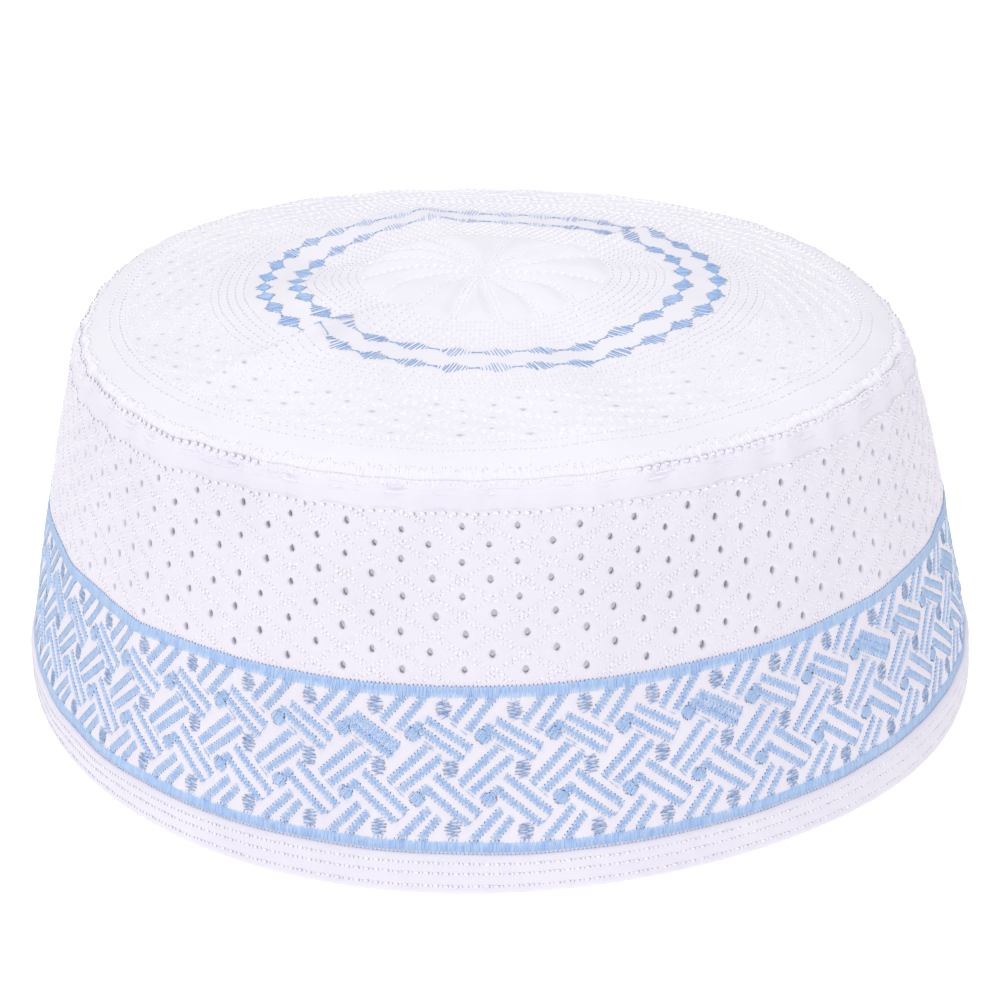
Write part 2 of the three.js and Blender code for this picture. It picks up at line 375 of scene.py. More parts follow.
def woven_cotton(name, light, dark, thread_spacing, bump):
    """Plain-woven bleached cotton: matt, with a soft sheen and a fine crossed weave."""
    material, tree = new_material(name)
    place = add_node(tree, "ShaderNodeTexCoord").outputs
    spacing = {"Scale": WAVE_REPEAT / (thread_spacing * MM), "Distortion": 0.6, "Detail": 1.0}
    warp, weft = [
        add_node(tree, "ShaderNodeTexWave", {"Vector": place["UV"], **spacing},
                 bands_direction=direction).outputs["Fac"]
        for direction in ("X", "Y")
    ]
    weave = add_node(tree, "ShaderNodeMath", {0: warp, 1: weft}, operation="MULTIPLY")
    slubs = add_node(tree, "ShaderNodeTexNoise", {
        "Vector": place["Object"], "Scale": SLUBS / MM, "Detail": 3.0, "Roughness": 0.6,
    })
    height = add_node(tree, "ShaderNodeMath", {0: weave, 1: slubs}, operation="ADD")
    relief = add_node(tree, "ShaderNodeBump", {
        "Height": height, "Strength": bump, "Distance": 0.06 * MM,
    })
    handling = add_node(tree, "ShaderNodeTexNoise", {
        "Vector": place["Object"], "Scale": HANDLING_MARKS / MM, "Detail": 4.0,
    })
    ramp = add_node(tree, "ShaderNodeValToRGB", {"Fac": handling})
    for i, position, colour in ((0, 0.35, dark), (1, 0.62, light)):
        ramp.color_ramp.elements[i].position = position
        ramp.color_ramp.elements[i].color = linear(colour)
    end_material(tree, {
        "Base Color": ramp, "Normal": relief, "Roughness": 0.88, "IOR": 1.47,
        "Specular IOR Level": 0.25, "Sheen Weight": 0.25, "Sheen Roughness": 0.5,
    })
    return material


def embroidery_thread(name, light, dark, hole, roughness, sheen, gloss):
    """Twisted thread: lustrous along its back, with painted shade at its tips where it dives into
    its needle hole.
    """
    material, tree = new_material(name)
    shade, reach = [
        add_node(tree, "ShaderNodeAttribute", attribute_name=stored).outputs["Fac"]
        for stored in ("shade", "reach")
    ]
    dyed = add_node(tree, "ShaderNodeMix", {0: shade, 6: linear(dark), 7: linear(light)},
                    data_type="RGBA")
    # Painted shade: the colour turns to the hole colour towards each tip, where the thread dives
    # into the cloth
    painted_hole_shade = add_node(tree, "ShaderNodeMapRange",
                    {"Value": reach, "From Min": 0.25, "From Max": 0.7},
                    interpolation_type="SMOOTHSTEP")
    colour = add_node(tree, "ShaderNodeMix", {0: painted_hole_shade, 6: dyed, 7: linear(hole)},
                      data_type="RGBA")
    place = add_node(tree, "ShaderNodeTexCoord").outputs["Object"]
    twist = fine_relief(tree, place, THREAD_TWISTS, 1.0, 0.3, 0.04)
    end_material(tree, {
        "Base Color": colour, "Normal": twist, "Roughness": roughness, "IOR": 1.5,
        "Specular IOR Level": gloss, "Sheen Weight": sheen, "Sheen Roughness": 0.35,
    })
    return material


def backdrop_paper(name, covered_radius, open_radius, painted_shade_glow, open_painted_glow):
    """Matt white studio paper that glows with painted light, and glows less where the cap stands on
    it: painted shade under the cap.
    """
    material, tree = new_material(name)
    place = add_node(tree, "ShaderNodeTexCoord").outputs["Object"]
    tooth = fine_relief(tree, place, PAPER_GRAINS, 2.0, 0.1, 0.05)
    from_middle = add_node(tree, "ShaderNodeVectorMath", {0: place}, operation="LENGTH")
    # Painted light and shade: the paper glows, and glows less within the covered radius
    painted_glow = add_node(tree, "ShaderNodeMapRange", {
        "Value": from_middle, "From Min": covered_radius * MM, "From Max": open_radius * MM,
        "To Min": painted_shade_glow, "To Max": open_painted_glow,
    })
    end_material(tree, {
        "Base Color": linear("#fbfbfb"), "Normal": tooth, "Roughness": 0.95,
        "Specular IOR Level": 0.1, "Emission Color": linear("#ffffff"),
        "Emission Strength": painted_glow,
    })
    return material


# Real poplin has a thread every 0.2 mm. These are drawn coarser, so that the weave shows
COTTON = woven_cotton("bleached_cotton_poplin", "#f2eef9", "#eeeaf6", 0.34, 0.25)
CROWN_COTTON = woven_cotton("bleached_cotton_crown", "#f3f1f9", "#efedf6", 0.34, 0.25)
HEM_COTTON = woven_cotton("folded_cotton_hem", "#f1edf8", "#ede9f5", 0.34, 0.3)
TAPE_COTTON = woven_cotton("bias_cut_cotton_tape", "#f2eefa", "#eeeaf7", 0.4, 0.4)
# The last colour of each thread is painted shade, for the needle holes at its tips
WHITE_THREAD = embroidery_thread(
    "white_polyester_thread", "#fcfaff", "#f6f3fd", "#aca7c0", 0.6, 0.3, 0.5
)
BLUE_THREAD = embroidery_thread(
    "sky_blue_rayon_thread", "#cce3ff", "#b4d3ff", "#2c4790", 0.36, 0.2, 0.5
)
# A darker blue than the border's thread, with a stronger gloss. The darker tone is painted shade,
# for the front leaves seen along their threads and the knots' zigzags.
RING_THREAD = embroidery_thread(
    "blue_rayon_thread_darkened_for_shade", "#bcdafe", "#98c2f7", "#2c4790", 0.28, 0.2, 1.0
)
# The paper's glow is painted light, and its weaker glow under the cap is painted shade
PAPER = backdrop_paper("white_backdrop_paper", 83, 100, 0.28, 0.42)


# Meshes

WELD_DISTANCE = 0.002


def sheet_mesh(name, parts, material):
    """One closed mesh from parts of points, faces and cloth places, welded where they meet."""
    bm = bmesh.new()
    uv_layer = bm.loops.layers.uv.new("cloth")
    for points, faces, places in parts:
        verts = [bm.verts.new(point) for point in points]
        for face in faces:
            made = bm.faces.new([verts[i] for i in face])
            for loop, i in zip(made.loops, face):
                loop[uv_layer].uv = places[i]
    bmesh.ops.remove_doubles(bm, verts=bm.verts, dist=WELD_DISTANCE * MM)
    mesh = bpy.data.meshes.new(name)
    bm.to_mesh(mesh)
    bm.free()
    mesh.materials.append(material)
    mesh.shade_smooth()
    return mesh


def new_object(name, data):
    made = bpy.data.objects.new(name, data)
    bpy.context.scene.collection.objects.link(made)
    return made


def finish_piece(piece):
    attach(piece, "root")


def cloth_piece(name, parts, material, slot, *nodes):
    """A closed piece of cloth that takes the place of plain solids of the frame."""
    piece = new_object(name, sheet_mesh(name, parts, material))
    finish_piece(piece)
    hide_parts(*nodes)


def grid_part(points, places):
    """A grid of rows and columns of points as one part of a sheet."""
    rows, columns = points.shape[:2]
    index = np.arange(rows * columns).reshape(rows, columns)
    corners = [index[:-1, :-1], index[:-1, 1:], index[1:, 1:], index[1:, :-1]]
    faces = np.stack(corners, axis=-1).reshape(-1, 4)
    return points.reshape(-1, 3), faces.tolist(), places.reshape(-1, 2)


def side_place(azimuth, height):
    """Where a point of the side lies on the flat cloth, in metres."""
    around, up = np.broadcast_arrays(np.radians(azimuth) * HEM_FOOT_RADIUS, height)
    return np.stack([around, up], axis=-1) * MM


def helper_object(name, points, faces=(), **stored):
    """A mesh for a tree to use, with numbers or vectors stored at its points."""
    mesh = bpy.data.meshes.new(name)
    mesh.from_pydata([tuple(point) for point in points], [], [tuple(face) for face in faces])
    for label, values in stored.items():
        values = np.array(values, float)
        kind, field = ("FLOAT", "value") if values.ndim == 1 else ("FLOAT_VECTOR", "vector")
        attribute = mesh.attributes.new(label, kind, "POINT")
        attribute.data.foreach_set(field, values.ravel())
    return new_object(name, mesh)


# Geometry node trees

def new_tree(name, *sockets):
    """A geometry node tree with a mesh going in and out, and its named inputs."""
    tree = bpy.data.node_groups.new(name, "GeometryNodeTree")
    tree.interface.new_socket("Geometry", in_out="INPUT", socket_type="NodeSocketGeometry")
    tree.interface.new_socket("Geometry", in_out="OUTPUT", socket_type="NodeSocketGeometry")
    for socket_name, kind in sockets:
        tree.interface.new_socket(socket_name, in_out="INPUT", socket_type="NodeSocket" + kind)
    return tree, add_node(tree, "NodeGroupInput").outputs


def end_tree(tree, geometry, material):
    """Instances become real faces with their material."""
    real = add_node(tree, "GeometryNodeRealizeInstances", {"Geometry": geometry})
    dressed = add_node(tree, "GeometryNodeSetMaterial", {"Geometry": real, "Material": material})
    add_node(tree, "NodeGroupOutput", {"Geometry": dressed})


def grown_mesh(carrier, tree, inputs):
    """Runs a tree on a mesh object and gives the plain mesh that it makes."""
    modifier = carrier.modifiers.new(tree.name, "NODES")
    modifier.node_group = tree
    for item in tree.interface.items_tree:
        if item.in_out == "INPUT" and item.name in inputs:
            modifier[item.identifier] = inputs[item.name]
    depsgraph = bpy.context.evaluated_depsgraph_get()
    mesh = bpy.data.meshes.new_from_object(carrier.evaluated_get(depsgraph))
    carrier.modifiers.remove(modifier)
    return mesh


def stitch_tree():
    """Lays one stitch on each point, along its thread and square to the cloth."""
    tree, given = new_tree(
        "stitches",
        ("Stitch", "Object"), ("Width", "Float"), ("Rise", "Float"), ("Unevenness", "Float"),
        ("Seed", "Int"), ("Material", "Material"),
    )
    along, up, span = [
        add_node(tree, "GeometryNodeInputNamedAttribute", {"Name": name}, data_type=kind)
        for name, kind in (("along", "FLOAT_VECTOR"), ("up", "FLOAT_VECTOR"), ("span", "FLOAT"))
    ]
    turn = add_node(tree, "FunctionNodeAxesToRotation",
                    {"Primary Axis": along, "Secondary Axis": up},
                    primary_axis="X", secondary_axis="Z")
    least, most = [
        add_node(tree, "ShaderNodeMath", {0: 1.0, 1: given["Unevenness"]}, operation=operation)
        for operation in ("SUBTRACT", "ADD")
    ]
    uneven = add_node(tree, "FunctionNodeRandomValue",
                      {2: least, 3: most, "Seed": given["Seed"]}, data_type="FLOAT")
    width, rise = [
        add_node(tree, "ShaderNodeMath", {0: given[name], 1: uneven}, operation="MULTIPLY")
        for name in ("Width", "Rise")
    ]
    size = add_node(tree, "ShaderNodeCombineXYZ", {"X": span, "Y": width, "Z": rise})
    stitch = add_node(tree, "GeometryNodeObjectInfo", {"Object": given["Stitch"]})
    laid = add_node(tree, "GeometryNodeInstanceOnPoints", {
        "Points": given["Geometry"], "Instance": stitch.outputs["Geometry"],
        "Rotation": turn, "Scale": size,
    })
    # The dye is drawn apart from the size
    dye_seed = add_node(tree, "ShaderNodeMath", {0: given["Seed"], 1: 7}, operation="ADD")
    dye = add_node(tree, "FunctionNodeRandomValue", {"Seed": dye_seed}, data_type="FLOAT")
    dyed = add_node(tree, "GeometryNodeStoreNamedAttribute",
                    {"Geometry": laid, "Name": "shade", "Value": dye},
                    data_type="FLOAT", domain="INSTANCE")
    end_tree(tree, dyed, given["Material"])
    return tree


def placed_cells(tree, columns, cell, count, first_x, first_y):
    """Cells in one row after another, each row half a cell to the side of the last."""
    points = add_node(tree, "GeometryNodePoints", {"Count": count})
    index = add_node(tree, "GeometryNodeInputIndex")
    column = add_node(tree, "ShaderNodeMath", {0: index, 1: columns}, operation="MODULO")
    row_start = add_node(tree, "ShaderNodeMath", {0: index, 1: column}, operation="SUBTRACT")
    row = add_node(tree, "ShaderNodeMath", {0: row_start, 1: columns}, operation="DIVIDE")
    stagger = add_node(tree, "ShaderNodeMath", {0: row, 1: 2.0}, operation="MODULO")
    across = add_node(tree, "ShaderNodeMath", {0: column, 1: 2.0, 2: stagger},
                      operation="MULTIPLY_ADD")
    x = add_node(tree, "ShaderNodeMath", {0: across, 1: first_x}, operation="ADD")
    y = add_node(tree, "ShaderNodeMath", {0: first_y, 1: row}, operation="SUBTRACT")
    place = add_node(tree, "ShaderNodeCombineXYZ", {"X": x, "Y": y})
    moved = add_node(tree, "GeometryNodeSetPosition", {"Geometry": points, "Position": place})
    shape = add_node(tree, "GeometryNodeObjectInfo", {"Object": cell}).outputs["Geometry"]
    laid = add_node(tree, "GeometryNodeInstanceOnPoints", {"Points": moved, "Instance": shape})
    return add_node(tree, "GeometryNodeStoreNamedAttribute",
                    {"Geometry": laid, "Name": "cell", "Value": index},
                    data_type="FLOAT", domain="INSTANCE")


def perforation_tree():
    """A flat field of pierced diamonds in staggered rows, with half diamonds at both ends."""
    tree, given = new_tree(
        "perforations",
        ("Cell", "Object"), ("Top Cell", "Object"), ("Foot Cell", "Object"),
        ("Columns", "Int"), ("Rows", "Int"), ("Material", "Material"),
    )
    columns = given["Columns"]
    rows = given["Rows"]
    count = add_node(tree, "ShaderNodeMath", {0: columns, 1: rows}, operation="MULTIPLY")
    below = add_node(tree, "ShaderNodeMath", {0: rows, 1: -1.0}, operation="MULTIPLY")
    foot_x = add_node(tree, "ShaderNodeMath", {0: rows, 1: 2.0}, operation="MODULO")
    joined = add_node(tree, "GeometryNodeJoinGeometry")
    for cell, number, first_x, first_y in (
        ("Cell", count, 0.0, 0.0),
        ("Top Cell", columns, 1.0, 1.0),
        ("Foot Cell", columns, foot_x, below),
    ):
        part = placed_cells(tree, columns, given[cell], number, first_x, first_y)
        tree.links.new(part.outputs["Geometry"], joined.inputs["Geometry"])
    end_tree(tree, joined, given["Material"])
    return tree


STITCHES = stitch_tree()
PERFORATIONS = perforation_tree()


# The cloth

# Share of the way from eyelet to seam line, and how far the padding lifts the cloth there
PUFF = [(0.0, -0.12), (0.16, 0.08), (0.45, 0.17), (0.75, 0.0), (1.0, 0.0)]

# How much wider each eyelet is at the inner face
FUNNEL = 1.5

# Half the width and half the height of a cell at the middle of each field
SIDE_CELL = (math.radians(180 / EYELET_COLUMNS) * 81, 2.8)
CROWN_CELL = (math.radians(180 / CROWN_COLUMNS) * 59, 2.05)


def pierced_cell(name, segments, cell_size, hole_size):
    """A diamond of cloth two wide and two high with an oval hole through its middle.

    Its outer face is at 0 and its inner face at -1, so the wrap gives it its thickness.
    """
    corners = np.array([(1, 0), (0, 1), (-1, 0), (0, -1), (1, 0)], float)
    steps = np.arange(segments)[:, None] / segments
    rim = np.vstack([start + steps * (end - start) for start, end in zip(corners, corners[1:])])
    hole = rim * cell_size
    hole = hole / np.linalg.norm(hole * 2 / hole_size, axis=1, keepdims=True) / cell_size
    layers = [(share, 0, hole) for share, _ in PUFF] + [(0, -1, hole * FUNNEL), (1, -1, hole)]
    points = []
    shares = []
    for share, depth, inner in layers:
        points += [(x, y, depth) for x, y in inner + share * (rim - inner)]
        shares += [share] * len(rim)
    around = np.arange(len(rim))
    after = np.roll(around, -1)
    hole_wall = len(PUFF)
    bands = [(layer, layer + 1) for layer in range(hole_wall - 1)]
    faces = []
    for first, second in [*bands, (hole_wall, 0), (hole_wall + 1, hole_wall)]:
        start = first * len(rim)
        end = second * len(rim)
        faces += zip(start + around, end + around, end + after, start + after)
    return helper_object(name, points, faces, share=shares)


def half_cell(name, segments, up, with_rim):
    """Half a diamond without a hole, which ends the field in a level line."""
    flat = []
    faces = []
    for step in range(segments + 1):
        reach = step / segments
        low = len(flat)
        flat += [(x, up * (reach - 1)) for x in np.linspace(-reach, reach, step + 1)]
        high = len(flat)
        if step < segments:
            faces += [(low + i, high + i + 1, high + i) for i in range(step + 1)]
            faces += [(low + i, low + i + 1, high + i + 1) for i in range(step)]
    under = len(flat)
    points = [(x, y, depth) for depth in (0, -1) for x, y in flat]
    faces += [tuple(under + i for i in face[::-1]) for face in faces]
    if with_rim:
        faces += [(i, i + 1, under + i + 1, under + i) for i in range(low, low + segments)]
    if up < 0:
        faces = [face[::-1] for face in faces]
    return helper_object(name, points, faces, share=[1.0] * len(points))


def shaken(points, share, cell, by, least, seed):
    """Moves and shrinks each eyelet a little, and leaves the seam lines where they are."""
    most = 1.1
    rng = np.random.default_rng(seed)
    moves = rng.normal(size=(cell.max() + 1, 2)) * by
    sizes = rng.uniform(least, most, cell.max() + 1)
    # The half cells at both ends share these numbers, and have no eyelet of their own
    inside = share < 1
    count = np.bincount(cell, inside)
    middle = [np.bincount(cell, points[:, i] * inside) / count for i in (0, 1)]
    middle = np.stack(middle, axis=-1)[cell]
    grown = (points[:, :2] - middle) * (sizes[cell] - 1)[:, None]
    points = points.copy()
    points[:, :2] += (moves[cell] + grown) * (1 - share)[:, None]
    return points


def eyelet_field(name, columns, rows, segments, cell_size, hole_size, with_rim, puff, **shake):
    """Grows a field of pierced cells.

    Gives the columns and stations of its points, how far each is lifted or sunk, and the faces.
    """
    cells = [
        pierced_cell(name + "_cell", segments, cell_size, hole_size),
        half_cell(name + "_top_cell", segments, 1, with_rim),
        half_cell(name + "_foot_cell", segments, -1, with_rim),
    ]
    carrier = helper_object(name, [(0, 0, 0)])
    mesh = grown_mesh(carrier, PERFORATIONS, {
        "Cell": cells[0], "Top Cell": cells[1], "Foot Cell": cells[2],
        "Columns": columns, "Rows": rows, "Material": COTTON,
    })
    points = np.array([vertex.co for vertex in mesh.vertices], float)
    share, cell = [
        np.array([point.value for point in mesh.attributes[stored].data])
        for stored in ("share", "cell")
    ]
    faces = [tuple(face.vertices) for face in mesh.polygons]
    for helper in [carrier, *cells]:
        bpy.data.objects.remove(helper)
    bpy.data.meshes.remove(mesh)
    x, y, depth = shaken(points, share, cell.astype(int), **shake).T
    lift = puff * np.interp(share, *zip(*PUFF))
    return x / 2, -y, np.where(depth < -0.5, -CLOTH_THICKNESS, lift), faces


def drifted(azimuth):
    """Where the worn pattern of the side really lies."""
    return azimuth + soft_bumps(azimuth, EYELET_DRIFTS)


def side_rows():
    """The stations and heights of the side's rows of eyelets, with both ends of the field."""
    sunk = [row - EYELET_SAG for row in EYELET_ROWS]
    return np.arange(-1, len(sunk) + 1), [QUILTING_TOP, *sunk, QUILTING_FOOT]


def crown_rows():
    """The stations and radii of the crown's rows of eyelets, with both ends of the field."""
    stations = np.arange(-1, len(CROWN_EYELET_ROWS) + 1)
    return stations, [CROWN_FIELD[0], *CROWN_EYELET_ROWS, CROWN_FIELD[1]]


def side_cloth():
    pitch = 360 / EYELET_COLUMNS
    column, station, up, faces = eyelet_field(
        "side_field", EYELET_COLUMNS, len(EYELET_ROWS), segments=4, cell_size=SIDE_CELL,
        hole_size=EYELET_SIZE, with_rim=True, puff=1, by=(0.06, 0.06), least=0.9, seed=21,
    )
    azimuth = drifted(EYELET_START + column * pitch)
    height = np.interp(station, *side_rows())
    return [(side_point(azimuth, height, up), faces, side_place(azimuth, height))]


def turned_part(surface, section, columns, relief):
    """A closed section turned round the cap: each row is a height, how far out, and its relief."""
    azimuth = np.linspace(-180, 180, columns + 1)[None, :]
    section = np.array([*section, section[0]], float)
    height, out, share = section.T[:, :, None]
    points = surface(azimuth, height, out + share * relief(azimuth, height))
    steps = np.hypot(np.diff(section[:, 0]), np.diff(section[:, 1]))
    run = np.concatenate([[0], np.cumsum(steps)])[:, None]
    return grid_part(points, side_place(azimuth, run))


# The fields of the crown

CROWN_ROWS_OUTER = [44.6, 46.1, 47.7, 49.3, 50.7]
CROWN_ROWS_INNER = [23.6, 25.2, 26.8, 28.3, 29.9, 31.4, 32.9]
CROWN_ROWS_LAST = [66.7, 67.7, 69.6]
CROWN_SEWN_ROWS = [*CROWN_ROWS_OUTER, *CROWN_ROWS_INNER, *CROWN_ROWS_LAST]
CROWN_GROOVE = -0.08
CROWN_GROOVE_WIDTH = 0.4

# The plain ring between the sewn rows swells between these radii
PLAIN_RING_SWELL = 0.1
PLAIN_RING_SPAN = ((33.2, 34.5), (43, 44.4))

# Azimuths of each arm of the flower at three radii, along which its petals rise
FLOWER_RADII = [5, 14, 23]
FLOWER_START = 2.2
FLOWER_ARMS = [
    (108, 112, 116), (118, 124, 137), (133, 143, 160), (152, 167, 186), (182, 195, 212),
    (221, 231, 235), (252, 256, 257), (274, 277, 278), (297, 302, 297), (322, 328, 315),
    (349, 352, 342), (380, 385, 380), (412, 410, 396), (433, 436, 434),
]
PETAL_RISE = 0.75
PETAL_FLANK = (0.5, 3)
PETAL_SPAN = ((1, 6), (20, 23.5))

# Radius and how far below the outer face: under the edge of the crown and round its rim
CROWN_EDGE_SECTION = [
    (CROWN_FIELD[1], -CLOTH_THICKNESS), (70.0, -CLOTH_THICKNESS), (72.0, -1.55),
    (73.2, -1.45), (74.2, -0.85), (74.8, -0.45), (75.0, -0.12),
]
CROWN_UNDER_RADII = [0, 8, 16, 24, 30, 36, 40, 44, 48, CROWN_FIELD[0]]


def flower_arm(arm):
    """The azimuths and radii of one arm as a soft curve."""
    radius = np.linspace(FLOWER_START, FLOWER_RADII[-1], 24)
    return smooth_curve(radius, list(zip(FLOWER_RADII, arm))), radius


def crown_groove(azimuth, radius):
    """Sunk along the sewn rows, padded between the flower's arms, swollen in the plain ring."""
    x, y = on_plan(azimuth, radius)
    nearest = np.full(np.shape(x), 9.0)
    for arm in FLOWER_ARMS:
        for arm_x, arm_y in zip(*on_plan(*flower_arm(arm))):
            nearest = np.minimum(nearest, np.hypot(x - arm_x, y - arm_y))
    petals = plateau(radius, *PETAL_SPAN) * smoothstep(nearest, *PETAL_FLANK)
    swell = plateau(radius, *PLAIN_RING_SPAN)
    grooves = ridges(radius, CROWN_SEWN_ROWS, CROWN_GROOVE, CROWN_GROOVE_WIDTH)
    return grooves + PETAL_RISE * petals + PLAIN_RING_SWELL * swell


def crown_cloth():
    pitch = 360 / CROWN_COLUMNS
    segments = 8
    column, station, up, faces = eyelet_field(
        "crown_field", CROWN_COLUMNS, len(CROWN_EYELET_ROWS), segments, cell_size=CROWN_CELL,
        hole_size=CROWN_EYELET_SIZE, with_rim=False, puff=0.6, by=(0.05, 0.07), least=0.3, seed=22,
    )
    radius = np.interp(station, *crown_rows())
    field = crown_point(CROWN_START + column * pitch, radius, up)
    parts = [(field, faces, field[:, :2])]

    # The field's level ends have a point at every segment of a half cell
    columns = CROWN_COLUMNS * segments
    azimuth = CROWN_START + pitch / 2 + np.linspace(0, 360, columns + 1)[None, :]
    sewn = np.concatenate([np.linspace(CROWN_FIELD[0], 22, 66), np.linspace(21.2, 0, 24)])
    sewn = sewn[:, None]
    sewn_up = smoothstep(CROWN_FIELD[0] - sewn, 0, 0.8) * crown_groove(azimuth, sewn)
    under = np.array(CROWN_UNDER_RADII)[:, None]
    # The edge's top side, where the relief starts softly beyond the field
    edge_top = [(radius, 0.0) for radius in np.linspace(74.8, CROWN_FIELD[1], 16)]
    edge, edge_up = np.array(CROWN_EDGE_SECTION + edge_top).T[:, :, None]
    on_top = smoothstep(edge, CROWN_FIELD[1], 67.6) * (edge_up == 0)
    edge_up = edge_up + on_top * crown_groove(azimuth, edge)
    for radius, up in ((sewn, sewn_up), (under, -CLOTH_THICKNESS), (edge, edge_up)):
        made = crown_point(azimuth, radius, up + 0 * azimuth)
        parts.append(grid_part(made, made[..., :2]))
    return parts


# The embroidered border

BORDER_REPEATS = 47
BORDER_PITCH = 360 / BORDER_REPEATS
BORDER_START = -94.9
BORDER_RADIUS = 87.5
BAR_WIDTH = 1.5
BAR_STEP = 0.345
PATCH_WIDTH = 1.7
PLANK_CHANCE = 0.35

# Bars of one repeat: azimuth from its first knot and height, at the start and at the end
BASKET_BARS = [
    (1.1, 29.0, 3.35, 33.0), (2.64, 27.6, 5.5, 33.0),
    (-1.96, 29.5, 2.95, 24.7), (-2.91, 28.1, 2.01, 22.9),
    (1.84, 18.7, 5.86, 24.75), (3.03, 17.35, 7.26, 23.0),
    (-0.99, 19.95, 3.72, 13.55), (-1.93, 17.6, 2.55, 11.8),
    (3.06, 9.2, 6.13, 14.25), (5.26, 9.2, 7.23, 12.9),
]
FILLED_PLANK = (-2.43, 28.8, 2.48, 23.8)
BASKET_KNOTS = [(0.12, 31.2), (0.71, 21.25), (0.95, 10.7)]

# Each patch is a round blob drawn out to the corner of the plank above it
BASKET_PATCHES = [(-3.38, 26.7, -2.5, 28.7), (-2.91, 16.0, -1.6, 18.3)]
BASKET_TIES = [
    (0.79, 28.95, 2.67, 26.9), (1.65, 18.8, 3.54, 15.9), (6.2, 24.6, 7.6, 23.1),
    (4.71, 26.65, 6.76, 24.35), (2.67, 24.6, 2.04, 22.6), (3.7, 13.4, 2.6, 11.7),
]

# The padding between the threads, and the heights over which it starts and ends
BORDER_PUFF = 0.3
BORDER_PUFF_FLANK = (0.5, 1.6)
BORDER_PUFF_SPAN = ((7.6, 10.2), (32.4, 34.4))
KNOT_RADIUS = 0.8


def side_degree(height):
    """Millimetres in one degree of the side, at a height."""
    return math.radians(float(smooth_curve(height, SIDE_RINGS)))


def border_puff(azimuth, height):
    """The padding lifts the bare cloth between the bars of the basket."""
    local = (azimuth - BORDER_START + BORDER_PITCH / 2) % BORDER_PITCH - BORDER_PITCH / 2
    degree = math.radians(BORDER_RADIUS)
    nearest = np.full(np.broadcast(azimuth, height).shape, 5.0)
    for turn in (-BORDER_PITCH, 0, BORDER_PITCH):
        x = (local - turn) * degree
        for bar in BASKET_BARS:
            start = (bar[0] * degree, bar[1])
            end = (bar[2] * degree, bar[3])
            nearest = np.minimum(nearest, from_line(x, height, start, end)[0])
        for place in [*BASKET_KNOTS, *BASKET_PATCHES]:
            away = np.hypot(x - place[0] * degree, height - place[1])
            nearest = np.minimum(nearest, away - KNOT_RADIUS)
    between = BORDER_PUFF * smoothstep(nearest, *BORDER_PUFF_FLANK)
    return between * plateau(height, *BORDER_PUFF_SPAN)


def zigzag(start_x, start_y, end_x, end_y, width, step):
    """Threads to and fro across a bar, in millimetres on the flat cloth."""
    length = math.hypot(end_x - start_x, end_y - start_y)
    along = np.array([end_x - start_x, end_y - start_y]) / length
    side = np.array([-along[1], along[0]]) * width / 2
    count = max(round(length / step), 2)
    stations = np.linspace(0, length, count + 1)[:, None] * along + [start_x, start_y]
    teeth = stations + np.where(np.arange(count + 1) % 2 == 0, 1, -1)[:, None] * side
    return np.hstack([teeth[:-1], teeth[1:]])


def running_threads(start_x, start_y, end_x, end_y, stitch=1.4):
    count = max(round(math.hypot(end_x - start_x, end_y - start_y) / stitch), 1)
    share = np.linspace(0, 1, count + 1)[:, None]
    line = (1 - share) * [start_x, start_y] + share * [end_x, end_y]
    return np.hstack([line[:-1], line[1:]])


def shaken_threads(threads, rng, by):
    return threads + rng.normal(size=threads.shape) * by


def moved_patch(rng, by):
    """One small shift for both ends of every thread of a patch."""
    return np.tile(rng.normal(size=2) * by, 2)


def fan_threads(rng):
    """A scribbled knot: threads of a round patch that lean to and fro."""
    half = 1.35
    rows = np.linspace(-half, half, 11)
    reach = half * np.sqrt(1 - (rows / 1.7) ** 2)
    lean = np.where(np.arange(len(rows)) % 2 == 0, 0.28, -0.2)
    threads = np.stack([-reach, rows - lean, reach, rows + lean], axis=-1)
    return shaken_threads(threads, rng, 0.12) + moved_patch(rng, 0.16)


def blob_threads(rng):
    """A small satin patch: close threads side by side, aslant."""
    half = 1.1
    cosine, sine = 0.77, 0.64
    rows = np.linspace(-half, half, 11)
    reach = half * np.sqrt(1.35 - (rows / 1.15) ** 2)
    ends = [(rows * cosine + way * reach * sine, -rows * sine + way * reach * cosine)
            for way in (-1, 1)]
    return shaken_threads(np.stack([*ends[0], *ends[1]], axis=-1), rng, 0.12)


def on_chart(threads, azimuth, across, degree):
    """Flat threads near a place become azimuths and stations on the chart of a surface."""
    return threads / [degree, 1, degree, 1] + [azimuth, across, azimuth, across]


def flat_line(line):
    """A line of the border in millimetres from its own height, and that height."""
    height = (line[1] + line[3]) / 2
    degree = side_degree(height)
    return (line[0] * degree, line[1] - height, line[2] * degree, line[3] - height), height


